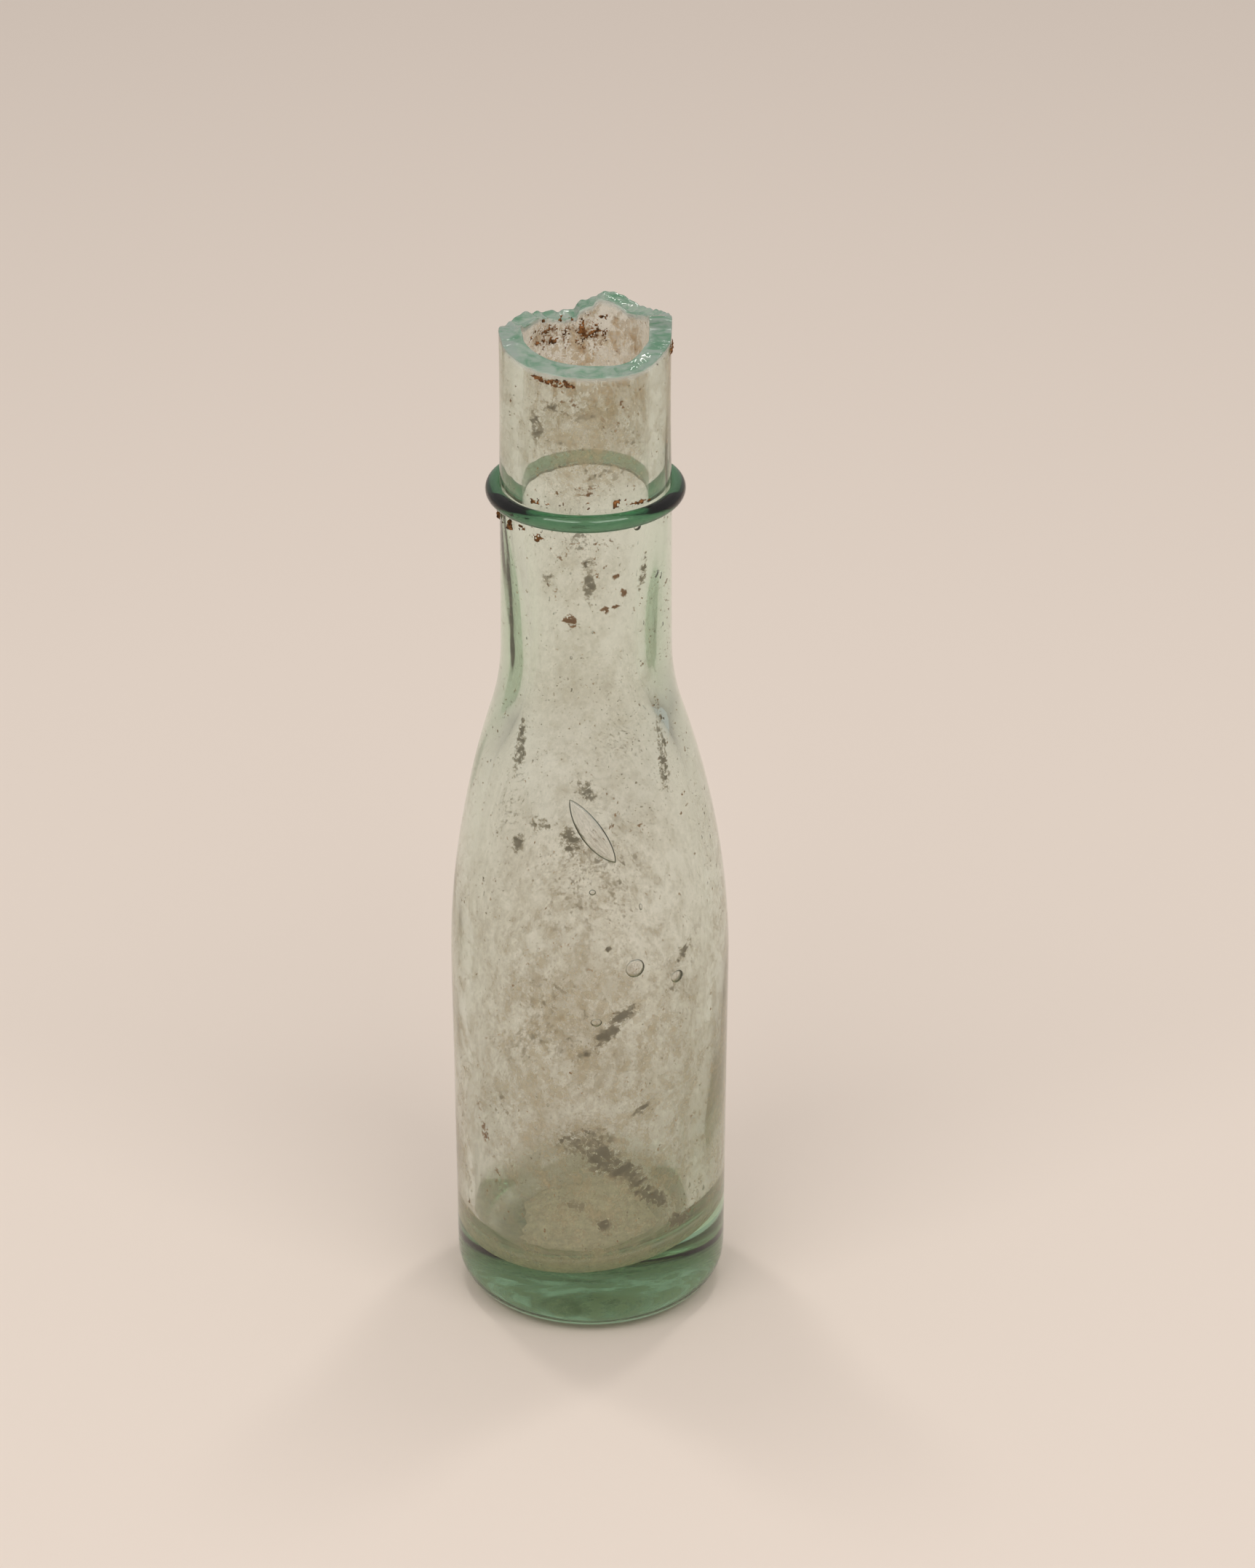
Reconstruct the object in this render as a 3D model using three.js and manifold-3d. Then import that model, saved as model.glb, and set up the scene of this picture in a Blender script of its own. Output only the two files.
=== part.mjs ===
// A small hand-finished aqua glass bottle: a thick-based vessel whose lip was snapped off rough, a ring of
// glass trailed round its neck, and the dried silt and rust that a long burial left on it.
// Millimetres, +Z up. The origin is the middle of the foot, on the surface that the bottle stands on.
// Angles are in degrees round the axis: 0 is the front (-Y), 90 the right (+X).
import * as THREE from "three";
import { mergeVertices } from "three/addons/utils/BufferGeometryUtils.js";
import Module from "manifold-3d";

// Outside of the vessel
const BODY_R = 22.0;
const FOOT_R = 21.6;
const HEEL_IN = 6.0;
const HEEL_UP = 6.0;
const SHOULDER_START = 58.5;
const NECK_START = 113.5;
const CONCAVE_SHARE = 0.2; // share of the shoulder's curve that bends back into the neck
const NECK_R = 13.2;
const RIM_R = 13.0;
const RIM_Z = 165.0; // nominal height, before the break shapes it
const KICK_R = 12.0; // dished part of the underside
const KICK_UP = 1.0;

// Inside of the vessel
const BODY_WALL = 2.7;
const NECK_WALL = 3.5;
const FLOOR_Z = 9.0;
const BOWL_R = 9.0; // round between the floor and the wall
const FLOOR_TILT = 2.0; // the floor is this much higher at the right wall, and lower at the left

// The broken lip: [angle, height]. It dips at the front and stands in two peaks at the back and right.
const BREAK_FROM = 150.0;
const BREAK = [
  [0, 162.5], [30, 162.2], [45, 162.3], [65, 163.5], [80, 164.2], [92, 166.9], [112, 165.8],
  [138, 164.8], [156, 166.0], [167, 166.3], [180, 164.7], [190, 163.2], [212, 163.3],
  [235, 164.1], [262, 164.6], [285, 164.4], [318, 163.1], [340, 162.7], [360, 162.5],
];

// The trailed ring
const RING_Z = 139.4;
const RING_R = 13.85;
const RING_TUBE = 1.3;
const RING_SKIRT = 1.9; // the thin foot of the ring reaches this far below its middle
const JOIN_GAP = 0.2; // between the ring and the neck that it was fused to

// Deposits
const DEPOSIT_GAP = 0.2; // between a deposit and the glass that it lies on
const FILM_THICK = 0.2;
const SILT_DEEP = 1.2;
const SILT_R = 12.5;
const CRUST_THICK = 0.4;
const BORE_RUST = { low: 156.5, high: 162.0, from: 150, to: 245 };
const RING_TOP_RUST = { low: 140.8, high: 142.6, from: -58, to: 72 };
const RING_UNDER_SOIL = { low: 134.6, high: 137.2, from: -55, to: -8 };

const ROUND = 48; // sides of every turned piece, so that facing walls stay parallel
const ARC_STEPS = 8;

const wasm = await Module();
wasm.setup();

// Points of a quarter-like arc of an ellipse, from angle a to b, without the first point.
function arc(x, z, rx, rz, a, b, steps = ARC_STEPS) {
  const points = [];
  for (let i = 1; i <= steps; i++) {
    const t = a + ((b - a) * i) / steps;
    points.push([x + rx * Math.cos(t), z + rz * Math.sin(t)]);
  }
  return points;
}

// The shoulder: a convex arc off the body and a concave arc into the neck, tangent where they meet.
function shoulder(bodyR, neckR) {
  const rise = NECK_START - SHOULDER_START;
  const angle = 2 * Math.atan((bodyR - neckR) / rise);
  const sum = rise / Math.sin(angle);
  const convex = sum * (1 - CONCAVE_SHARE);
  const concave = sum * CONCAVE_SHARE;
  const points = [];
  for (let i = 0; i <= ARC_STEPS; i++) {
    const t = (angle * i) / ARC_STEPS;
    points.push([bodyR - convex * (1 - Math.cos(t)), SHOULDER_START + convex * Math.sin(t)]);
  }
  for (let i = ARC_STEPS - 1; i >= 0; i -= 2) {
    const t = (angle * i) / ARC_STEPS;
    points.push([neckR + concave * (1 - Math.cos(t)), NECK_START - concave * Math.sin(t)]);
  }
  return points;
}

function turned(profile) {
  const points = profile.map(([r, z]) => new THREE.Vector2(Math.max(r, 0), z));
  return new THREE.LatheGeometry(points, ROUND).rotateX(Math.PI / 2);
}

// Moves every vertex of a turned geometry: move(radius, angle, z) gives its new z.
function lift(geometry, move) {
  const p = geometry.getAttribute("position");
  for (let i = 0; i < p.count; i++) {
    const r = Math.hypot(p.getX(i), p.getY(i));
    const angle = (THREE.MathUtils.radToDeg(Math.atan2(p.getX(i), -p.getY(i))) + 360) % 360;
    p.setZ(i, move(r, angle, p.getZ(i)));
  }
  return geometry;
}

function lipHeight(angle) {
  const after = BREAK.findIndex(([a]) => a >= angle);
  const [a1, z1] = BREAK[Math.max(after, 1)];
  const [a0, z0] = BREAK[Math.max(after, 1) - 1];
  return z0 + ((z1 - z0) * (angle - a0)) / (a1 - a0);
}

// The floor's tilt fades out up the wall, so the body above it stays round.
function tilted(r, angle, z) {
  const fade = THREE.MathUtils.clamp((SHOULDER_START - z) / (SHOULDER_START - FLOOR_Z), 0, 1);
  const across = (r / (BODY_R - BODY_WALL)) * Math.sin(THREE.MathUtils.degToRad(angle));
  return z + FLOOR_TILT * across * fade;
}

function vesselGeometry() {
  const innerR = BODY_R - BODY_WALL;
  const boreR = NECK_R - NECK_WALL;
  const outside = [
    [0, KICK_UP], [KICK_R * 0.5, KICK_UP * 0.75], [KICK_R, 0], [FOOT_R - HEEL_IN, 0],
    ...arc(FOOT_R - HEEL_IN, HEEL_UP, HEEL_IN, HEEL_UP, -Math.PI / 2, 0),
    ...shoulder(BODY_R, NECK_R),
    [NECK_R, BREAK_FROM], [RIM_R, RIM_Z],
  ];
  const inside = [
    [boreR, RIM_Z + 0.3], [boreR, BREAK_FROM],
    ...shoulder(innerR, boreR).reverse(),
    [innerR, FLOOR_Z + BOWL_R],
    ...arc(innerR - BOWL_R, FLOOR_Z + BOWL_R, BOWL_R, BOWL_R, 0, -Math.PI / 2),
    [0, FLOOR_Z],
  ];
  const isInside = new Set(inside.map(([r, z]) => r.toFixed(3) + "_" + z.toFixed(3)));
  return lift(turned([...outside, ...inside]), (r, angle, z) => {
    if (z > BREAK_FROM) {
      const share = (z - BREAK_FROM) / (RIM_Z - BREAK_FROM);
      return BREAK_FROM + share * (lipHeight(angle) - BREAK_FROM);
    }
    return isInside.has(r.toFixed(3) + "_" + z.toFixed(3)) ? tilted(r, angle, z) : z;
  });
}

function ringGeometry() {
  const inner = NECK_R + JOIN_GAP;
  const reach = Math.acos((inner - RING_R) / RING_TUBE);
  const skirtTop = RING_Z - RING_TUBE * Math.sin(reach * 0.9);
  return turned([
    [inner, RING_Z - RING_SKIRT],
    [inner + 0.3, skirtTop],
    ...arc(RING_R, RING_Z, RING_TUBE, RING_TUBE, -reach * 0.85, reach, 12),
    [inner, RING_Z - RING_SKIRT],
  ]);
}

// A thin skin just inside the wall, from the bowl up to the bore.
function filmGeometry() {
  const outer = BODY_WALL + DEPOSIT_GAP;
  const outerR = BODY_R - outer;
  const boreR = NECK_R - NECK_WALL - DEPOSIT_GAP;
  const start = FLOOR_Z + BOWL_R;
  const top = RING_Z + 12;
  const outside = [[outerR, start], ...shoulder(outerR, boreR), [boreR, top]];
  const inside = outside.map(([r, z]) => [r - FILM_THICK, z]).reverse();
  return lift(turned([...outside, ...inside, outside[0]]), tilted);
}

// A shallow cake of dried silt on the floor.
function siltGeometry() {
  const under = FLOOR_Z + DEPOSIT_GAP;
  const edge = BODY_R - BODY_WALL - BOWL_R;
  const profile = [
    [0, under], [edge * 0.9, under], [SILT_R, under + SILT_DEEP * 0.7],
    [edge * 0.7, under + SILT_DEEP], [0, under + SILT_DEEP * 0.8],
  ];
  return lift(turned(profile), tilted);
}

function solidOf(geometry) {
  const bare = geometry.clone();
  bare.deleteAttribute("normal");
  bare.deleteAttribute("uv");
  const merged = mergeVertices(bare, 1e-3);
  return new wasm.Manifold(
    new wasm.Mesh({
      numProp: 3,
      vertProperties: new Float32Array(merged.getAttribute("position").array),
      triVerts: new Uint32Array(merged.index.array),
    }),
  );
}

function geometryOf(solid) {
  const mesh = solid.getMesh();
  return new THREE.BufferGeometry()
    .setAttribute("position", new THREE.BufferAttribute(mesh.vertProperties, 3))
    .setIndex(new THREE.BufferAttribute(mesh.triVerts, 1));
}

// A crust: the part of a thin turned band that lies between two angles. It is on a wall of radius r, on the
// side of it that way points to: -1 is inwards and 1 outwards.
function crustGeometry(r, way, { low, high, from, to }) {
  const near = r + way * DEPOSIT_GAP;
  const far = near + way * CRUST_THICK;
  const slope = CRUST_THICK;
  const outline = [[near, low], [far, low + slope], [far, high - slope], [near, high], [near, low]];
  const band = turned(way > 0 ? outline : outline.reverse());
  const middle = THREE.MathUtils.degToRad((from + to) / 2);
  const half = THREE.MathUtils.degToRad((to - from) / 2);
  const reach = 3 * BODY_R;
  const wedge = new THREE.Shape([
    new THREE.Vector2(0, 0),
    new THREE.Vector2(reach * Math.cos(half), -reach * Math.sin(half)),
    new THREE.Vector2(reach * Math.cos(half), reach * Math.sin(half)),
  ]);
  const block = new THREE.ExtrudeGeometry(wedge, { depth: 2 * RIM_Z, bevelEnabled: false });
  block.rotateZ(middle - Math.PI / 2);
  return geometryOf(solidOf(band).intersect(solidOf(block)));
}

function material(color, roughness, options = {}) {
  return new THREE.MeshStandardMaterial({ color, roughness, metalness: 0, ...options });
}

const group = new THREE.Group();

function add(name, geometry, look) {
  const mesh = new THREE.Mesh(geometry, look);
  mesh.name = name;
  group.add(mesh);
}

const aqua = material(0xb4d2bf, 0.06, { transparent: true, opacity: 0.4 });
const deepAqua = material(0x2f6b52, 0.06, { transparent: true, opacity: 0.7 });
const silt = material(0x8c8469, 0.95);
const rust = material(0x6b4526, 0.95);

add("glass_vessel", vesselGeometry(), aqua);
add("neck_ring", ringGeometry(), deepAqua);
add("wall_silt_film", filmGeometry(), silt);
add("floor_silt", siltGeometry(), silt);
add("bore_rust_crust", crustGeometry(NECK_R - NECK_WALL, -1, BORE_RUST), rust);
add("ring_top_rust", crustGeometry(NECK_R, 1, RING_TOP_RUST), rust);
add("ring_under_soil", crustGeometry(NECK_R, 1, RING_UNDER_SOIL), rust);

export default group;
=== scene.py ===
import math

import bpy
import numpy as np
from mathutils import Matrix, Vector, noise


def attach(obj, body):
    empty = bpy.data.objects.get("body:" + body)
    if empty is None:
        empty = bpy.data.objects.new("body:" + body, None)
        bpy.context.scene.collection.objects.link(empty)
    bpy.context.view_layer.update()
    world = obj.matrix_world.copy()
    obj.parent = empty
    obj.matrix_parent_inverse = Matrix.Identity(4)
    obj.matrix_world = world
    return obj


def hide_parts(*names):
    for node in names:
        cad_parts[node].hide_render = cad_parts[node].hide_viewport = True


# A small hand-finished aqua glass bottle with a snapped-off lip, stained by a long burial.
# Lengths are in millimetres until a mesh is made, and angles are in degrees round the bottle's axis:
# 0 is the front (-Y) and 90 the right (+X).

MM = 0.001
ROUND = 288  # divisions round every turned surface

# Outside of the vessel
BODY_R = 22.0
FOOT_R = 21.6
HEEL_IN = 6.0
HEEL_UP = 6.0
SHOULDER_START = 58.5
NECK_START = 113.5
CONCAVE_SHARE = 0.2
NECK_R = 13.2
RIM_R = 13.0
KICK_R = 13.5
KICK_UP = 1.0
LEAN = 0.4  # the neck's axis stands this far to the left of the foot's

# Inside of the vessel
BODY_WALL = 2.7
NECK_WALL = 3.5
FLOOR_Z = 9.0
BOWL_R = 9.0
FLOOR_TILT = 2.0
FILM_DEEP = 0.10  # the silt film lies between these two depths under the inner face
FILM_SHALLOW = 0.06
SILT_R = 12.0
SILT_GAP = 0.25  # between the cake of silt and the floor that it lies on

# The snapped lip's outer edge: (angle, height)
BREAK_FROM = 150.0
BREAK = [
    (0, 162.5), (14, 162.4), (30, 162.2), (42, 162.3), (54, 162.9), (65, 163.6), (80, 163.8), (87, 165.2),
    (90, 166.9), (97, 166.6), (112, 165.8), (128, 165.1), (140, 164.9), (149, 165.6), (157, 166.2),
    (167, 166.3), (171, 165.8), (173, 165.2), (180, 164.7), (186, 164.1), (188, 163.3), (199, 163.0),
    (210, 163.3), (227, 164.2), (240, 163.8), (252, 163.9), (262, 164.8), (275, 165.2), (286, 164.9),
    (290, 164.1), (303, 163.6), (318, 163.1), (328, 162.8), (345, 162.6), (360, 162.5),
]

# The trailed ring
RING_Z = 139.4
RING_R = 13.85
RING_TUBE = 1.3


def smooth_step(a, b, x):
    t = np.clip((x - a) / (b - a), 0, 1)
    return t * t * (3 - 2 * t)


def bump(x, middle, width):
    return np.exp(-(((x - middle) / width) ** 2))


def turn_between(angle, middle):
    """The signed turn from middle to angle, in degrees, between -180 and 180."""
    return (angle - middle + 180) % 360 - 180


def ripple(angle, z, seed, waves, lengths, count=14):
    """A smooth random wave over a turned surface, about -1 to 1. waves is the most that go round it, and
    lengths the shortest and longest wave up it, in mm."""
    rng = np.random.default_rng(seed)
    total = np.zeros(np.broadcast(angle, z).shape)
    for _ in range(count):
        k = rng.integers(0, waves + 1)
        length = rng.uniform(*lengths)
        phase = rng.uniform(0, 2 * math.pi)
        sign = rng.choice([-1, 1])
        total = total + np.sin(k * np.radians(angle) + sign * 2 * math.pi * z / length + phase)
    return total / math.sqrt(count)


def shoulder_radius(z, body_r, neck_r):
    """A convex arc off the body and a concave arc into the neck, tangent where they meet."""
    rise = NECK_START - SHOULDER_START
    slope = 2 * math.atan((body_r - neck_r) / rise)
    total = rise / math.sin(slope)
    convex = total * (1 - CONCAVE_SHARE)
    concave = total * CONCAVE_SHARE
    up = np.clip(z - SHOULDER_START, 0, convex)
    down = np.clip(NECK_START - z, 0, concave)
    low_part = body_r - convex + np.sqrt(convex**2 - up**2)
    high_part = neck_r + concave - np.sqrt(concave**2 - down**2)
    return np.where(z < SHOULDER_START + convex * math.sin(slope), low_part, high_part)


def lip_height(angle):
    """The outer edge of the break, with fine chipping on its rough back half."""
    at = np.asarray(angle) % 360
    height = np.interp(at, [a for a, _ in BREAK], [z for _, z in BREAK])
    chips = ripple(at, 0 * at, 31, 60, (20, 40), 24)
    rough = 0.03 + 0.13 * smooth_step(80, 130, at) * (1 - smooth_step(250, 290, at))
    return height + rough * chips


def lip_inner_height(angle):
    at = np.asarray(angle) % 360
    lean = 0.25 + 0.4 * np.cos(np.radians(at - 340))
    return np.interp(at, [a for a, _ in BREAK], [z for _, z in BREAK]) + lean


def outer_radius(angle, z):
    body = np.where(z < SHOULDER_START, FOOT_R + (BODY_R - FOOT_R) * np.clip(z / SHOULDER_START, 0, 1), 0)
    slope = shoulder_radius(z, BODY_R, NECK_R)
    neck = NECK_R + (RIM_R - NECK_R) * np.clip((z - NECK_START) / (BREAK_FROM - NECK_START), 0, 1)
    r = np.where(z < SHOULDER_START, body, np.where(z < NECK_START, slope, neck))
    waves = 0.05 * ripple(angle, z, 3, 4, (30, 90)) + 0.004 * ripple(angle, z, 4, 30, (60, 200))
    return r + waves * smooth_step(4, 12, z)


def inner_radius(angle, z):
    """The wall is uneven: thick low on the right, and at both sides where the neck leaves the shoulder."""
    slope = shoulder_radius(np.clip(z, SHOULDER_START, NECK_START), BODY_R - BODY_WALL, NECK_R - NECK_WALL)
    waves = 0.09 * ripple(angle, z, 5, 5, (20, 60)) + 0.008 * ripple(angle, z, 6, 30, (60, 200))
    low_right = bump(turn_between(angle, 76), 0, 56) * 1.7 * (1 - smooth_step(20, 66, z))
    neck_left = bump(turn_between(angle, 262), 0, 30) * 1.5 * bump(z, 112, 15)
    neck_right = bump(turn_between(angle, 86), 0, 28) * 1.3 * bump(z, 116, 14)
    return slope + waves - low_right - (neck_left + neck_right)


def floor_tilt(x, z):
    fade = 1 - smooth_step(FLOOR_Z, SHOULDER_START, z)
    return FLOOR_TILT * x / (BODY_R - BODY_WALL) * fade


def lean_at(z):
    return -LEAN * smooth_step(60, 120, z)


def place(angle, r, z):
    """Points, in millimetres, of a ring at each angle, as an array of rows of 3."""
    t = np.radians(angle)
    x = r * np.sin(t) + lean_at(z)
    return np.stack([x, -r * np.cos(t), z + 0 * t], axis=-1)


ANGLES = np.arange(ROUND) * 360.0 / ROUND


def make_object(name, points, faces):
    mesh = bpy.data.meshes.new(name)
    mesh.from_pydata((np.asarray(points) * MM).tolist(), [], faces)
    mesh.update()
    mesh.polygons.foreach_set("use_smooth", [True] * len(mesh.polygons))
    piece = bpy.data.objects.new(name, mesh)
    bpy.context.scene.collection.objects.link(piece)
    return piece


def skin(rows, closed):
    """Points and faces of rows of points round the axis. closed joins the last row to the first."""
    n = len(rows[0])
    points = np.concatenate(rows)
    faces = []
    for i in range(len(rows) if closed else len(rows) - 1):
        a = i * n
        b = ((i + 1) % len(rows)) * n
        faces += [(a + j, a + (j + 1) % n, b + (j + 1) % n, b + j) for j in range(n)]
    return points, faces


def capped(rows, start, end):
    """Like skin, with a point at each end instead of a hole."""
    points, faces = skin(rows, False)
    n = len(rows[0])
    first = len(points)
    last = first + 1
    base = len(points) - n
    faces += [(first, (j + 1) % n, j) for j in range(n)]
    faces += [(last, base + j, base + (j + 1) % n) for j in range(n)]
    return np.concatenate([points, [start], [end]]), faces


def underside_rows():
    """The dished underside, the flat that the bottle stands on, and the heel up to the straight wall."""
    rows = []
    for share in np.linspace(0.03, 1, 14):
        r = KICK_R * share
        z = KICK_UP * (0.5 + 0.5 * math.cos(math.pi * share))
        pits = 0.1 * ripple(ANGLES, z + r, 8, 5, (6, 14)) * (1 - share) * min(1, 3 * share)
        rows.append(place(ANGLES, r, z + pits))
    heel = FOOT_R - HEEL_IN
    for r in np.linspace(KICK_R, heel, 5)[1:]:
        rows.append(place(ANGLES, r, 0 * ANGLES))
    for t in np.linspace(0, math.pi / 2, 15)[1:]:
        r = heel + HEEL_IN * math.sin(t)
        rows.append(place(ANGLES, r, 0 * ANGLES + HEEL_UP * (1 - math.cos(t))))
    return rows


def wall_rows(radius, low, high, step):
    """Rows up a wall from height low to the lip, which high gives at each angle."""
    rows = []
    for z in np.arange(low, BREAK_FROM, step):
        rows.append(place(ANGLES, radius(ANGLES, z), 0 * ANGLES + z))
    for share in np.linspace(0, 1, 16):
        z = BREAK_FROM + share * (high - BREAK_FROM)
        rows.append(place(ANGLES, radius(ANGLES, z), z))
    return rows


def lip_rows():
    """The broken face across the wall, a little hollow, with its two edges barely worn."""
    outer_z = lip_height(ANGLES)
    inner_z = lip_inner_height(ANGLES)
    outer_r = outer_radius(ANGLES, outer_z)
    inner_r = inner_radius(ANGLES, inner_z)
    edge = 0.16
    rows = []
    for t in (30, 60, 90):
        turn = math.radians(t)
        rows.append(place(ANGLES, outer_r - edge * (1 - math.cos(turn)), outer_z + edge * math.sin(turn)))
    hollow = 0.3 * ripple(ANGLES, 0, 12, 9, (10, 20))
    for share in np.linspace(0, 1, 12)[1:-1]:
        r = (outer_r - edge) + (inner_r - outer_r + 2 * edge) * share
        flutes = 0.05 * ripple(ANGLES, 4 * share, 13, 70, (1.5, 5)) * (4 * share * (1 - share))
        z = outer_z + (inner_z - outer_z) * share + edge
        rows.append(place(ANGLES, r, z + (hollow - 0.25) * 4 * share * (1 - share) + flutes))
    for t in (90, 60, 30):
        turn = math.radians(t)
        rows.append(place(ANGLES, inner_r + edge * (1 - math.cos(turn)), inner_z + edge * math.sin(turn)))
    return rows


def bowl_points(t):
    """Radius and height of the inside's floor and bowl, t going from 0 at the axis to 1 at the wall."""
    flat = BODY_R - BODY_WALL - BOWL_R
    turn = np.clip((t - 0.4) / 0.6, 0, 1) * math.pi / 2
    r = np.where(t < 0.4, flat * t / 0.4, flat + BOWL_R * np.sin(turn))
    z = FLOOR_Z + BOWL_R * (1 - np.cos(turn))
    return r, z


def bowl_rows(inset=0.0):
    """The inside's floor from its middle out, scaled so that it meets the uneven wall."""
    wall_z = FLOOR_Z + BOWL_R
    wall_r = inner_radius(ANGLES, wall_z)
    rows = []
    for t in np.linspace(0.03, 1, 40):
        r, z = bowl_points(t)
        r = r * wall_r / (BODY_R - BODY_WALL) - inset * t
        lumps = 0.14 * ripple(ANGLES, z + r, 9, 4, (8, 20)) * min(1, 2 * t) * (1 - t)
        x = r * np.sin(np.radians(ANGLES))
        rows.append(place(ANGLES, r, z + lumps + inset * (1 - t) + floor_tilt(x, z)))
    return rows


def inside_rows(inset=0.0):
    """The inside from the floor's middle up to the lip."""

    def radius(angle, z):
        return inner_radius(angle, z) - inset

    up = []
    for z in np.arange(FLOOR_Z + BOWL_R + 1, BREAK_FROM, 1.0):
        r = radius(ANGLES, z)
        tilt = floor_tilt(r * np.sin(np.radians(ANGLES)), z)
        up.append(place(ANGLES, r, z + tilt))
    top = lip_inner_height(ANGLES) + 3 * min(inset, 0)
    for share in np.linspace(0, 1, 16):
        z = BREAK_FROM + share * (top - BREAK_FROM)
        up.append(place(ANGLES, radius(ANGLES, z), z))
    return bowl_rows(inset) + up


def bubble(middle_angle, middle_z, depth, half_long, half_wide, half_deep, turn, pointed):
    """A void in the wall, depth under its outer face: points and faces that look into the void."""
    ups, rounds = 14, 36
    rows = []
    for i in range(1, ups):
        lat = math.pi * i / ups
        t = np.arange(rounds) * 2 * math.pi / rounds
        u = np.cos(t)
        v = np.sin(t)
        if pointed:
            v = v * np.abs(v) ** 0.5
        long = half_long * u * math.sin(lat)
        wide = half_wide * v * math.sin(lat)
        deep = half_deep * math.cos(lat) + 0 * t
        rows.append(np.stack([long, wide, deep], axis=-1))
    points, faces = capped(rows, [0, 0, half_deep], [0, 0, -half_deep])
    c, s = math.cos(math.radians(turn)), math.sin(math.radians(turn))
    along = points[:, 0] * c - points[:, 1] * s
    up = points[:, 0] * s + points[:, 1] * c
    z = middle_z + up
    base = outer_radius(np.array([middle_angle]), np.array([middle_z]))[0]
    angle = middle_angle + np.degrees(along / base)
    r = outer_radius(angle, z) - depth + points[:, 2]
    placed = np.stack([place(a, q, h) for a, q, h in zip(angle, r, z)])
    return placed, faces


def facing_in(points, faces):
    """Turns a closed body's faces so that they look inwards, by the sign of its volume."""
    a, b, c = (points[[f[k] for f in faces]] for k in range(3))
    middle = points.mean(0)
    volume = np.einsum("ij,ij->i", a - middle, np.cross(b - middle, c - middle)).sum()
    return faces if volume < 0 else [tuple(reversed(f)) for f in faces]


# Voids in the glass: (angle, z, depth, half length, half width, half depth, turn, pointed)
BLISTERS = [
    (2, 89.5, 0.8, 6.1, 1.8, 0.5, -54, True),
    (20, 66.8, 1.2, 1.6, 1.5, 0.4, 20, False),
    (40, 63.5, 1.2, 1.2, 1.0, 0.4, 10, False),
    (3, 58.0, 1.2, 0.9, 0.7, 0.35, 0, False),
    (2, 80.0, 1.0, 0.55, 0.45, 0.3, 0, False),
    (40, 137.0, 1.5, 0.7, 0.6, 0.35, 0, False),
]


def make_vessel():
    rows = underside_rows()
    rows += wall_rows(outer_radius, HEEL_UP + 1, lip_height(ANGLES), 1.0)
    rows += lip_rows()
    rows += list(reversed(inside_rows()))
    points, faces = capped(rows, [0, 0, KICK_UP], [0, 0, FLOOR_Z])
    bodies = [(points, faces)]
    rng = np.random.default_rng(21)
    seeds = []
    for _ in range(60):
        size = 0.12 + 0.25 * rng.random() ** 3
        angle, z, depth = rng.uniform(0, 360), rng.uniform(16, 158), rng.uniform(0.8, 1.8)
        seeds.append((angle, z, depth, size * rng.uniform(1, 1.8), size, size * 0.8, 90, False))
    for void in BLISTERS + seeds:
        void_points, void_faces = bubble(*void)
        bodies.append((void_points, facing_in(void_points, void_faces)))
    all_points, all_faces, start = [], [], 0
    for body_points, body_faces in bodies:
        all_points.append(body_points)
        all_faces += [tuple(start + k for k in f) for f in body_faces]
        start += len(body_points)
    vessel = make_object("glass_vessel_blown", np.concatenate(all_points), all_faces)
    wear_and_lit(vessel)
    return vessel


def wear_and_lit(vessel):
    """Masks the face of the break and the dished underside, where the glass gets colours that are partly wear
    and partly painted light.
    """
    mesh = vessel.data
    points = np.zeros(len(mesh.vertices) * 3)
    mesh.vertices.foreach_get("co", points)
    x, y, z = (points.reshape(-1, 3) / MM).T
    x = x - lean_at(z)
    angle = np.degrees(np.arctan2(x, -y)) % 360
    r = np.hypot(x, y)
    lowest_edge = np.minimum(lip_height(angle), lip_inner_height(angle))
    off_walls = np.minimum(outer_radius(angle, z) - r, r - inner_radius(angle, z))
    face = smooth_step(0.02, 0.2, off_walls) * (z > lowest_edge - 1.8)
    # Both masks carry painted light as well as wear: the broken face a diffuse green, the underside a pale
    # colour.
    masks = {"broken": np.maximum(face, smooth_step(-0.15, 0.1, z - lowest_edge)),
             "worn_and_lit": (1 - smooth_step(KICK_R, KICK_R + 2.0, r)) * (z < KICK_UP + 0.5)}
    for name, mask in masks.items():
        layer = mesh.attributes.new(name, "FLOAT", "POINT")
        layer.data.foreach_set("value", mask.astype(np.float32))


def make_ring():
    """A trail of glass wound once round the neck, a little uneven, and closed on the neck's face."""
    rows = []
    tube = RING_TUBE + 0.06 * ripple(ANGLES, 0, 41, 4, (10, 20))
    height = RING_Z + 0.1 * ripple(ANGLES, 0, 42, 3, (10, 20))
    hug = outer_radius(ANGLES, RING_Z) + 0.02
    for t in np.linspace(0, 360, 40, endpoint=False):
        turn = math.radians(t)
        r = RING_R + 0.05 + tube * math.cos(turn)
        z = height + tube * 1.02 * math.sin(turn)
        rows.append(place(ANGLES, np.maximum(r, hug), z))
    points, faces = skin(rows, True)
    return make_object("neck_ring_trailed", points, faces)


# Materials

def new_material(name):
    material = bpy.data.materials.new(name)
    material.use_nodes = True
    tree = material.node_tree
    tree.nodes.clear()
    return material, tree, tree.nodes.new("ShaderNodeOutputMaterial")


def math_node(tree, operation, *values):
    node = tree.nodes.new("ShaderNodeMath")
    node.operation = operation
    for socket, value in zip(node.inputs, values):
        if isinstance(value, (int, float)):
            socket.default_value = value
        else:
            tree.links.new(value, socket)
    return node.outputs[0]


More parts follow.
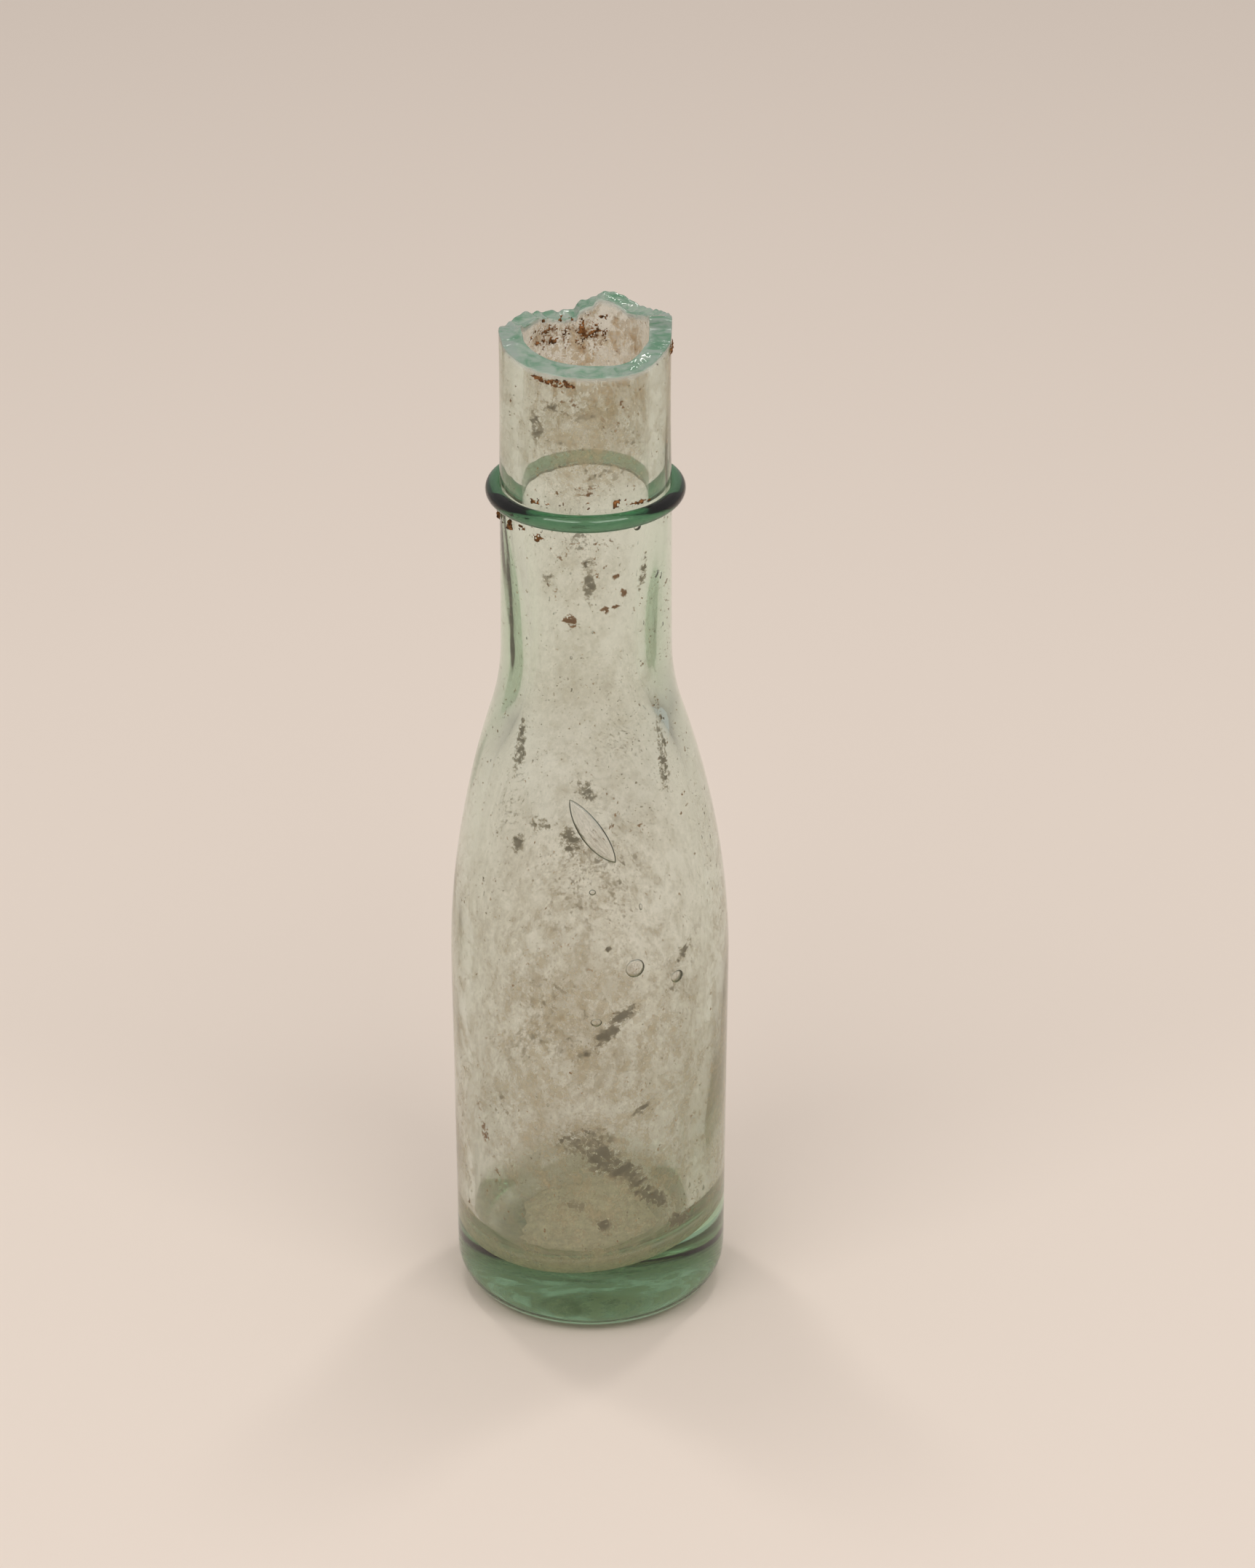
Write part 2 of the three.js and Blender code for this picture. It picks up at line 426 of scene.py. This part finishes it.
def spread(tree, value, low, high, to_low=0.0, to_high=1.0):
    """Maps low..high to to_low..to_high, smoothly and clamped."""
    node = tree.nodes.new("ShaderNodeMapRange")
    node.interpolation_type = "SMOOTHSTEP"
    tree.links.new(value, node.inputs["Value"])
    for name, number in (("From Min", low), ("From Max", high), ("To Min", to_low), ("To Max", to_high)):
        node.inputs[name].default_value = number
    return node.outputs["Result"]


def texture_mm(tree, stretch=(1, 1, 1), turn=(0, 0, 0)):
    """Object coordinates in millimetres, stretched."""
    place_node = tree.nodes.new("ShaderNodeTexCoord")
    mapping = tree.nodes.new("ShaderNodeMapping")
    mapping.inputs["Scale"].default_value = [k / MM for k in stretch]
    mapping.inputs["Rotation"].default_value = [math.radians(k) for k in turn]
    tree.links.new(place_node.outputs["Object"], mapping.inputs["Vector"])
    return mapping.outputs[0]


def noise_of(tree, coords, size, detail=6.0, rough=0.6, distort=0.0):
    """Noise whose lumps are about size millimetres across."""
    node = tree.nodes.new("ShaderNodeTexNoise")
    node.inputs["Scale"].default_value = 1 / size
    node.inputs["Detail"].default_value = detail
    node.inputs["Roughness"].default_value = rough
    node.inputs["Distortion"].default_value = distort
    tree.links.new(coords, node.inputs["Vector"])
    return node.outputs["Fac"]


def painted(tree, name):
    node = tree.nodes.new("ShaderNodeAttribute")
    node.attribute_name = name
    return node.outputs["Fac"]


def blend_colors(tree, amount, first, second):
    node = tree.nodes.new("ShaderNodeMix")
    node.data_type = "RGBA"
    tree.links.new(amount, node.inputs["Factor"])
    for socket, value in ((node.inputs[6], first), (node.inputs[7], second)):
        if isinstance(value, tuple):
            socket.default_value = (*value, 1)
        else:
            tree.links.new(value, socket)
    return node.outputs[2]


AQUA = (0.42, 0.73, 0.47)
AQUA_DENSITY = 44
DEEP_AQUA = (0.08, 0.50, 0.26)
DEEP_AQUA_DENSITY = 900
# The broken lip's diffuse green: partly crushed glass, partly painted light that stands in for light glowing
# through the lip's glass.
CRUSHED_AND_LIT_GREEN = (0.07, 0.20, 0.11)
# The underside's pale colour: partly scuffing and dirt, partly painted light that lightens the shaded
# underside.
SCUFFED_AND_LIT = (0.86, 0.80, 0.56)
BED = (0.90, 0.84, 0.60)
HAZE = (1.0, 0.82, 0.60)
GRIME = (0.23, 0.20, 0.15)
RUST = (0.46, 0.20, 0.06)
LIT_THROUGH = 0.45  # share of the film's light that comes through it from behind


def glass(name, body_color, density, broken=False):
    """Clear glass that takes its colour from the depth that light crosses. Where the broken mask is painted
    it is crushed and green in streaks, the green partly painted light that stands in for light glowing
    through the lip's glass. On the dished underside it is scuffed and dirty, with pale painted light over the
    shaded underside."""
    material, tree, out = new_material(name)
    shader = tree.nodes.new("ShaderNodeBsdfPrincipled")
    shader.inputs["Base Color"].default_value = (1, 1, 1, 1)
    shader.inputs["Transmission Weight"].default_value = 1
    shader.inputs["Roughness"].default_value = 0.01
    shader.inputs["IOR"].default_value = 1.5
    if broken:
        mm = texture_mm(tree)
        streaks = noise_of(tree, texture_mm(tree, (0.5, 0.5, 2.2)), 1.6, 6, 0.6, 0.6)
        share = spread(tree, streaks, 0.32, 0.68, 0.62, 0.95)
        crushed_and_lit = math_node(tree, "MULTIPLY", painted(tree, "broken"), share)
        dirt = spread(tree, noise_of(tree, mm, 3.0, 8, 0.7), 0.35, 0.6, 0.25, 0.8)
        # Under the foot, a pale colour that is partly scuffing and dirt and partly painted light brightens
        # the shaded underside.
        scuffed_and_lit = math_node(tree, "MULTIPLY", painted(tree, "worn_and_lit"), dirt)
        # On the broken face, a diffuse green that is partly painted light stands in for light through the
        # lip's glass.
        color = blend_colors(tree, crushed_and_lit, (1.0, 1.0, 1.0), CRUSHED_AND_LIT_GREEN)
        tree.links.new(blend_colors(tree, scuffed_and_lit, color, SCUFFED_AND_LIT), shader.inputs["Base Color"])
        solid = math_node(tree, "MAXIMUM", crushed_and_lit, scuffed_and_lit)
        tree.links.new(math_node(tree, "SUBTRACT", 1.0, solid), shader.inputs["Transmission Weight"])
        tree.links.new(math_node(tree, "MULTIPLY_ADD", scuffed_and_lit, 0.4, 0.03), shader.inputs["Roughness"])
    inside = tree.nodes.new("ShaderNodeVolumeAbsorption")
    inside.inputs["Color"].default_value = (*body_color, 1)
    inside.inputs["Density"].default_value = density
    tree.links.new(shader.outputs[0], out.inputs["Surface"])
    tree.links.new(inside.outputs[0], out.inputs["Volume"])
    return material


def haze_mask(tree, mid, large):
    """A mottled haze with two sizes of flakes in it, where the veil is painted."""
    flakes = noise_of(tree, texture_mm(tree, (1, 1, 0.8), (0, 35, 0)), 2.6, 12, 0.78, 0.0)
    haze = spread(tree, math_node(tree, "MULTIPLY", mid, large), 0.16, 0.36, 0.06, 0.3)
    for edge in (0.50, 0.57):
        haze = math_node(tree, "ADD", haze, spread(tree, flakes, edge, edge + 0.025, 0.0, 0.16))
    return math_node(tree, "MULTIPLY", haze, painted(tree, "veil"))


def speck_mask(tree, mm, fine, mid, large):
    """Fine dark specks in clusters, and scattered grains."""
    clusters = spread(tree, mid, 0.47, 0.60, 0.0, 0.8)
    specks = math_node(tree, "MULTIPLY", spread(tree, fine, 0.61, 0.67), clusters)
    grains = spread(tree, noise_of(tree, mm, 0.5, 2, 0.5), 0.70, 0.74, 0.0, 0.9)
    grains = math_node(tree, "MULTIPLY", grains, spread(tree, large, 0.4, 0.6))
    return math_node(tree, "MAXIMUM", specks, grains)


def grime_mask(tree, fine, mid):
    """The painted grime, with its edges and its middle broken up by two sizes of noise."""
    ragged = math_node(tree, "MULTIPLY_ADD", fine, 2.2, -1.1)
    ragged = math_node(tree, "ADD", ragged, math_node(tree, "MULTIPLY_ADD", mid, 1.3, -0.65))
    ragged = math_node(tree, "ADD", ragged, painted(tree, "grime"))
    return spread(tree, ragged, 0.40, 0.80, 0.0, 0.72)


def rust_mask(tree, fine):
    """The painted rust, and fine flecks of it in patches all over."""
    flaky = math_node(tree, "ADD", painted(tree, "rust"), math_node(tree, "MULTIPLY_ADD", fine, 1.8, -0.9))
    flecks = noise_of(tree, texture_mm(tree, (1, 1, 0.8), (20, 0, 0)), 0.8, 5, 0.65)
    patchy = spread(tree, noise_of(tree, texture_mm(tree, (1, 1, 1), (0, 60, 0)), 6.0, 3, 0.6), 0.42, 0.6)
    flecks = math_node(tree, "MULTIPLY", spread(tree, flecks, 0.64, 0.69, 0.0, 0.9), patchy)
    return math_node(tree, "MAXIMUM", spread(tree, flaky, 0.52, 0.66, 0.0, 0.9), flecks)


def film_material():
    """Dried silt: a mottled haze, fine specks and flecks, and the painted patches, broken up by noise."""
    material, tree, out = new_material("silt_film")
    mm = texture_mm(tree)
    fine = noise_of(tree, mm, 0.8, 8, 0.75)
    mid = noise_of(tree, mm, 3.6, 12, 0.8, 0.0)
    large = noise_of(tree, texture_mm(tree, (1, 1, 0.6), (0, 30, 0)), 14.0, 5, 0.6)
    haze = haze_mask(tree, mid, large)
    bed = math_node(tree, "MULTIPLY", painted(tree, "bed"), spread(tree, mid, 0.35, 0.62, 0.2, 0.5))
    speck = speck_mask(tree, mm, fine, mid, large)
    grime = grime_mask(tree, fine, mid)
    rust = rust_mask(tree, fine)
    bare = math_node(tree, "SUBTRACT", 1.0, haze)
    for mask in (speck, grime, rust, bed):
        bare = math_node(tree, "MULTIPLY", bare, math_node(tree, "SUBTRACT", 1.0, mask))
    color = blend_colors(tree, painted(tree, "bed"), HAZE, BED)
    color = blend_colors(tree, math_node(tree, "MAXIMUM", speck, grime), color, GRIME)
    color = blend_colors(tree, rust, color, RUST)
    dull = tree.nodes.new("ShaderNodeBsdfDiffuse")
    lit_behind = tree.nodes.new("ShaderNodeBsdfTranslucent")
    tree.links.new(color, dull.inputs["Color"])
    tree.links.new(color, lit_behind.inputs["Color"])
    solid = tree.nodes.new("ShaderNodeMixShader")
    solid.inputs[0].default_value = LIT_THROUGH
    tree.links.new(dull.outputs[0], solid.inputs[1])
    tree.links.new(lit_behind.outputs[0], solid.inputs[2])
    clear = tree.nodes.new("ShaderNodeBsdfTransparent")
    both = tree.nodes.new("ShaderNodeMixShader")
    tree.links.new(bare, both.inputs[0])
    tree.links.new(solid.outputs[0], both.inputs[1])
    tree.links.new(clear.outputs[0], both.inputs[2])
    tree.links.new(both.outputs[0], out.inputs["Surface"])
    return material


def crust_material(name, dark, bright, size=0.7):
    """Baked-on rust or soil: dark lumps, bright flakes, rough and bumpy."""
    material, tree, out = new_material(name)
    mm = texture_mm(tree)
    grain = noise_of(tree, mm, size, 8, 0.7)
    flake = noise_of(tree, mm, size * 2.2, 5, 0.6, 0.8)
    shader = tree.nodes.new("ShaderNodeBsdfPrincipled")
    color = blend_colors(tree, spread(tree, grain, 0.38, 0.66), dark, bright)
    color = blend_colors(tree, spread(tree, flake, 0.55, 0.75, 0.0, 0.6), color, dark)
    tree.links.new(color, shader.inputs["Base Color"])
    tree.links.new(spread(tree, grain, 0.3, 0.7, 0.95, 0.7), shader.inputs["Roughness"])
    shader.inputs["Specular IOR Level"].default_value = 0.25
    relief = tree.nodes.new("ShaderNodeBump")
    relief.inputs["Strength"].default_value = 0.6
    relief.inputs["Distance"].default_value = 0.15 * MM
    tree.links.new(grain, relief.inputs["Height"])
    tree.links.new(relief.outputs[0], shader.inputs["Normal"])
    tree.links.new(shader.outputs[0], out.inputs["Surface"])
    return material


def paint(piece, name, spots):
    """A soft mask on a turned mesh. Each spot is (angle, z, half width, half height, turn, strength)."""
    mesh = piece.data
    points = np.zeros(len(mesh.vertices) * 3)
    mesh.vertices.foreach_get("co", points)
    x, y, z = (points.reshape(-1, 3) / MM).T
    angle = np.degrees(np.arctan2(x, -y)) % 360
    r = np.hypot(x, y)
    mask = np.zeros(len(z))
    for middle, height, wide, tall, turn, strength in spots:
        across = np.radians(turn_between(angle, middle)) * r
        up = z - height
        c, s = math.cos(math.radians(turn)), math.sin(math.radians(turn))
        u = (across * c + up * s) / wide
        v = (up * c - across * s) / tall
        mask = np.maximum(mask, strength * np.exp(-(u * u + v * v) ** 1.5))
    layer = mesh.attributes.new(name, "FLOAT", "POINT")
    layer.data.foreach_set("value", mask.astype(np.float32))


# Patches on the inside: (angle, z, half width, half height, turn, strength). Angles past 100 are on the back.
GRIME_SPOTS = [
    (311, 100, 1.2, 5.5, 8, 0.6), (54, 99, 1.3, 7.5, -14, 0.58), (322, 85.6, 1.4, 1.8, 0, 0.68),
    (335, 89.5, 2.2, 1.4, 10, 0.56), (351, 86.9, 1.8, 3.0, 20, 0.66), (359, 95, 1.6, 2.2, 30, 0.62),
    (346, 74.4, 0.5, 0.4, 0, 0.9), (9, 70.3, 0.6, 0.5, 0, 0.95), (15, 58.4, 2.8, 1.3, 35, 0.74),
    (8, 55.4, 3.2, 1.2, 35, 0.7), (359, 52, 3.0, 1.1, 30, 0.58), (24, 41, 1.8, 0.8, 30, 0.7),
    (358, 36, 5.5, 3.2, 0, 0.55), (8, 32, 6.0, 2.6, -35, 0.64), (16, 29.6, 5.0, 2.0, -35, 0.68),
    (30, 24, 5.0, 1.6, -35, 0.64), (45, 18, 4.0, 1.6, -30, 0.6), (7, 20.6, 2.0, 1.6, 0, 0.62),
    (348, 24, 6.0, 2.2, -10, 0.48), (47, 66.8, 2.6, 0.8, 50, 0.58), (40, 61.5, 2.0, 0.8, 30, 0.5),
    (317, 153, 1.2, 3.5, 0, 0.6), (328, 156.5, 2.4, 2.6, 0, 0.52), (349, 156, 6.0, 3.2, 0, 0.46),
    (39, 151, 2.4, 3.4, 0, 0.44), (340, 150, 4.0, 4.0, 0, 0.42), (12, 146, 4.0, 2.2, 0, 0.45),
    (0, 131.5, 1.0, 1.3, 0, 0.66), (1, 127.6, 0.9, 2.8, 0, 0.7), (327, 128.5, 1.3, 1.6, 0, 0.5),
    (50, 128.5, 0.9, 3.0, -10, 0.56), (318, 40, 4.0, 8.0, 10, 0.36), (340, 62, 6.0, 5.0, 20, 0.36),
    (180, 62, 12.0, 14.0, 30, 0.42), (205, 34, 12.0, 8.0, 0, 0.44), (160, 90, 6.0, 6.0, 0, 0.42),
    (230, 80, 5.0, 8.0, 0, 0.4), (120, 50, 5.0, 9.0, 20, 0.42), (190, 128, 3.0, 4.0, 0, 0.5),
]
RUST_SPOTS = [
    (345, 122, 1.5, 1.5, 30, 0.8), (7, 129.5, 0.9, 0.7, 0, 0.72), (13, 130.6, 1.0, 0.6, 0, 0.72),
    (23, 129, 0.9, 0.8, 0, 0.7), (30, 126, 0.7, 1.4, 0, 0.7), (23, 123.8, 1.0, 0.7, 0, 0.74),
    (14, 123.6, 1.1, 0.9, 0, 0.76), (15, 127, 2.0, 1.4, 0, 0.42), (306, 33, 1.3, 3.2, 15, 0.62),
    (314, 26, 1.0, 2.6, 0, 0.56), (302, 37, 1.2, 3.0, 10, 0.5), (29, 88.7, 1.3, 0.8, 0, 0.62),
    (212, 161, 9.0, 3.0, 0, 0.5), (180, 160, 5.0, 5.0, 0, 0.5), (240, 158, 5.0, 4.0, 0, 0.4),
    (145, 158, 5.0, 5.0, 0, 0.36), (345, 158, 6.0, 3.0, -8, 0.44), (22, 154, 4.0, 4.0, 0, 0.42),
    (0, 143.5, 4.0, 2.0, 0, 0.5), (332, 126, 1.2, 2.4, 10, 0.45), (355, 70, 9.0, 9.0, 0, 0.27),
    (355, 110, 7.0, 7.0, 0, 0.3), (350, 134, 9.0, 4.0, 0, 0.42), (30, 50, 8.0, 9.0, 0, 0.26),
    (340, 30, 9.0, 8.0, 0, 0.3), (330, 100, 7.0, 8.0, 0, 0.3), (180, 100, 14.0, 30.0, 0, 0.26),
]

# Where the haze lies: the body and the top of the neck, more at the front and back than at the sides.
VEIL_SPOTS = [
    (0, 45, 26, 38, 0, 1.0), (180, 45, 26, 40, 0, 0.9), (90, 40, 14, 44, 0, 0.8), (270, 40, 14, 44, 0, 0.75),
    (0, 150, 13, 11, 0, 1.0), (180, 156, 14, 13, 0, 2.3), (270, 150, 6, 12, 0, 0.5), (90, 150, 6, 12, 0, 0.5),
    (0, 105, 11, 22, 0, 0.4), (180, 110, 12, 22, 0, 0.35), (350, 130, 8, 8, 0, 0.45),
]

# The settled bed: the floor and the round above it.
BED_SPOTS = [(a, 9, 14, 5.0, 0, 1.0) for a in range(0, 360, 30)]


def thickened(spots):
    """The spots, with each heavy one a little wider, taller and stronger. The faint ones stay as they are."""
    heavy, wider, taller, stronger, strongest = 0.5, 1.15, 1.1, 0.07, 0.95
    return [(angle, z, wide * wider, tall * taller, turn, min(strongest, strength + stronger))
            if strength >= heavy else (angle, z, wide, tall, turn, strength)
            for angle, z, wide, tall, turn, strength in spots]


def make_film():
    """A thin closed skin in the weathered face of the inside wall, from the floor up to the lip."""
    deep = inside_rows(-FILM_DEEP)
    shallow = list(reversed(inside_rows(-FILM_SHALLOW)))
    points, faces = capped(deep + shallow, [0, 0, FLOOR_Z - FILM_DEEP], [0, 0, FLOOR_Z - FILM_SHALLOW])
    piece = make_object("wall_silt_haze", points, faces)
    paint(piece, "grime", thickened(GRIME_SPOTS))
    paint(piece, "rust", RUST_SPOTS)
    paint(piece, "veil", VEIL_SPOTS)
    paint(piece, "bed", BED_SPOTS)
    return piece


def make_crust(name, radius, way, angles, heights, thick, cover, seed, grain=2.0, step=0.15):
    """A lumpy crust on a turned wall: it stands off the wall where its noise passes a mask that fades at the
    edges of its patch, so that it breaks into islands. cover(angle share, height share) adds to the mask."""
    (a0, a1), (z0, z1) = angles, heights
    middle_r = float(radius(np.array([(a0 + a1) / 2]), np.array([(z0 + z1) / 2]))[0])
    columns = int(math.radians(a1 - a0) * middle_r / step)
    rows = int((z1 - z0) / step)
    lift = np.zeros((rows, columns))
    turns = [a0 + (a1 - a0) * (j / (columns - 1)) for j in range(columns)]
    levels = [z0 + (z1 - z0) * (i / (rows - 1)) for i in range(rows)]
    for i in range(rows):
        for j in range(columns):
            u, v = j / (columns - 1), i / (rows - 1)
            z = levels[i]
            t = math.radians(turns[j])
            at = Vector((middle_r * math.sin(t) / grain, middle_r * math.cos(t) / grain, z / grain + seed))
            edge = min(1, 5 * min(u, 1 - u)) * min(1, 3.3 * min(v, 1 - v))
            lump = noise.fractal(at, 0.45, 2.1, 7, noise_basis="PERLIN_ORIGINAL")
            lift[i, j] = lump * 0.7 + cover(u, v) - 0.9 * (1 - edge)
    solid = lift > 0
    index = {}
    tops, bottoms, faces = [], [], []

    def corner(i, j):
        if (i, j) not in index:
            index[(i, j)] = len(tops)
            angle, z = turns[j], levels[i]
            base = float(radius(np.array([angle]), np.array([z]))[0]) + way * 0.11
            height = thick * (0.15 + min(1.0, 2.2 * max(lift[i, j], 0)))
            inner = all(solid[p, q] for p in (i - 1, i, i + 1) for q in (j - 1, j, j + 1)
                        if 0 <= p < rows and 0 <= q < columns)
            top = base + way * (height if inner else 0.03)
            tops.append(place(angle, top, z))
            bottoms.append(place(angle, base, z))
        return index[(i, j)]

    cells = [(i, j) for i in range(rows - 1) for j in range(columns - 1)
             if solid[i, j] and solid[i + 1, j] and solid[i, j + 1] and solid[i + 1, j + 1]]
    kept = set(cells)
    quads = [[corner(*c) for c in ((i, j), (i, j + 1), (i + 1, j + 1), (i + 1, j))] for i, j in cells]
    count = len(tops)
    for quad, (i, j) in zip(quads, cells):
        faces.append(tuple(quad))
        faces.append(tuple(count + k for k in reversed(quad)))
        sides = (((i - 1, j), 0, 1), ((i, j + 1), 1, 2), ((i + 1, j), 2, 3), ((i, j - 1), 3, 0))
        for beside, p, q in sides:
            if beside not in kept:
                a, b = quad[p], quad[q]
                faces.append((a, count + a, count + b, b))
    if way < 0:
        faces = [tuple(reversed(f)) for f in faces]
    return make_object(name, np.array(tops + bottoms).reshape(-1, 3), faces)


def make_floor_silt():
    """A lumpy cake of dried silt over the middle of the floor, thin at its ragged edge."""
    rows, under = [], []
    flat = BODY_R - BODY_WALL - BOWL_R
    for share in np.linspace(0.04, 1, 34):
        ragged = 0.12 * ripple(ANGLES, 0, 51, 5, (10, 20)) + 0.03 * ripple(ANGLES, 0, 52, 24, (10, 20))
        r = SILT_R * (1 + ragged) * share
        tilt = floor_tilt(r * np.sin(np.radians(ANGLES)), FLOOR_Z)
        bed = FLOOR_Z + np.clip(r - flat, 0, BOWL_R) ** 2 / (2 * BOWL_R) + tilt
        lumps = 0.35 * ripple(ANGLES, r, 53, 7, (4, 12)) * min(1, 3 * share)
        depth = (0.9 + lumps) * (1 - smooth_step(0.75, 1.0, share)) + 0.2
        rows.append(place(ANGLES, r, bed + SILT_GAP + depth))
        under.append(place(ANGLES, r, bed + SILT_GAP))
    points, faces = capped(rows + list(reversed(under)), [0, 0, FLOOR_Z + 1.2], [0, 0, FLOOR_Z + SILT_GAP])
    return make_object("floor_silt_cake", points, [tuple(reversed(f)) for f in faces])


def plain_floor():
    """A wide pale floor, a hair under the foot so that the two faces don't fight."""
    side, level = 3.0, -0.05 * MM
    floor = bpy.data.meshes.new("floor")
    corners = [(-side, -side, level), (side, -side, level), (side, side, level), (-side, side, level)]
    floor.from_pydata(corners, [], [(0, 1, 2, 3)])
    piece = bpy.data.objects.new("floor", floor)
    bpy.context.scene.collection.objects.link(piece)
    material, tree, out = new_material("pale_floor")
    shader = tree.nodes.new("ShaderNodeBsdfPrincipled")
    shader.inputs["Base Color"].default_value = (0.78, 0.69, 0.62, 1)
    shader.inputs["Roughness"].default_value = 0.9
    shader.inputs["Specular IOR Level"].default_value = 0.2
    tree.links.new(shader.outputs[0], out.inputs["Surface"])
    floor.materials.append(material)


def area_light(name, azimuth, elevation, distance, size, power):
    """A soft rectangle of light that faces the bottle's middle. Azimuth 0 is the front, 90 the right."""
    light = bpy.data.lights.new(name, "AREA")
    light.shape = "RECTANGLE"
    light.size, light.size_y = size
    light.energy = power
    light.color = (1, 0.97, 0.93)
    lamp = bpy.data.objects.new(name, light)
    a, e = math.radians(azimuth), math.radians(elevation)
    middle = Vector((0, 0, 0.09))
    away = Vector((math.sin(a) * math.cos(e), -math.cos(a) * math.cos(e), math.sin(e)))
    lamp.location = middle + away * distance
    lamp.rotation_euler = away.to_track_quat("Z", "Y").to_euler()
    bpy.context.scene.collection.objects.link(lamp)


def studio():
    scene = bpy.context.scene
    world = bpy.data.worlds.new("studio")
    world.use_nodes = True
    background = world.node_tree.nodes["Background"]
    background.inputs["Color"].default_value = (1.0, 0.955, 0.92, 1)
    background.inputs["Strength"].default_value = 0.475
    scene.world = world
    for side in (-1, 1):
        area_light("front_softbox", 34 * side, 48, 1.2, (0.75, 0.4), 3.8)
        area_light("ceiling_strip", 180 - 36 * side, 72, 1.2, (0.07, 0.32), 1.7)
    scene.view_settings.view_transform = "Standard"
    scene.cycles.max_bounces = 24
    scene.cycles.transmission_bounces = 24
    scene.cycles.transparent_max_bounces = 32


def camera():
    view = bpy.data.cameras.new("camera")
    view.lens = 120.3
    holder = bpy.data.objects.new("camera", view)
    holder.location = (0.00596, -0.73005, 0.45949)
    holder.rotation_euler = (math.radians(90 - 26.92), 0, 0)
    bpy.context.scene.collection.objects.link(holder)
    bpy.context.scene.camera = holder


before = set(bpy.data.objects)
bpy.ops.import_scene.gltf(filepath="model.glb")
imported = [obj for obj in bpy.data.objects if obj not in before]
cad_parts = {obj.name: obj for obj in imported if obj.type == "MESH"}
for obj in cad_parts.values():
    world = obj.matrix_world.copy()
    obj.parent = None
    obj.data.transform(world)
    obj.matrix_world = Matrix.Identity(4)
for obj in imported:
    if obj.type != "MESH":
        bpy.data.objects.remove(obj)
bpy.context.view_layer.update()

camera()
studio()
plain_floor()


def finish_piece(piece, material, slot, *nodes):
    piece.data.materials.append(material)
    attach(piece, "root")
    if nodes:
        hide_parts(*nodes)


aqua = glass("aqua_glass", AQUA, AQUA_DENSITY, broken=True)
finish_piece(make_vessel(), aqua, "aqua_glass", "glass_vessel")
deep_aqua = glass("deep_aqua_glass", DEEP_AQUA, DEEP_AQUA_DENSITY)
finish_piece(make_ring(), deep_aqua, "deep_aqua_glass", "neck_ring")
finish_piece(make_film(), film_material(), "silt_film", "wall_silt_film")
silt = crust_material("dried_silt", (0.62, 0.58, 0.40), (0.86, 0.80, 0.58), 1.6)
finish_piece(make_floor_silt(), silt, "dried_silt", "floor_silt")

rust = crust_material("rust_crust", (0.045, 0.022, 0.010), (0.36, 0.15, 0.045))
bore_crust = make_crust("bore_rust_islands", inner_radius, -1, (140, 262), (153, 163.9), 0.25,
                        lambda u, v: -0.62 + 1.35 * v * v - 0.25 * abs(u - 0.6), 3.0, 1.1, 0.12)
finish_piece(bore_crust, rust, "rust_crust", "bore_rust_crust")
crease_crust = make_crust("ring_top_rust_islands", outer_radius, 1, (-70, 80), (140.6, 143.4), 0.4,
                          lambda u, v: 0.12 - 0.5 * v, 11.0)
finish_piece(crease_crust, rust, "rust_crust", "ring_top_rust")
under_crust = make_crust("ring_under_soil_islands", outer_radius, 1, (-100, -5), (134.2, 138.0), 0.45,
                         lambda u, v: -0.1 + 0.5 * v - 0.4 * u, 19.0)
finish_piece(under_crust, rust, "rust_crust", "ring_under_soil")

lip_smear = make_crust("lip_rust_smear", outer_radius, 1, (-42, -2), (160.4, 162.6), 0.16,
                       lambda u, v: 0.5 - 1.7 * abs(v - 0.78 + 0.5 * u), 27.0, 0.8, 0.09)
finish_piece(lip_smear, rust, "rust_crust")
corner_rust = make_crust("lip_corner_rust", outer_radius, 1, (70, 100), (161.2, 164.6), 0.2,
                         lambda u, v: 0.15, 33.0)
finish_piece(corner_rust, rust, "rust_crust")
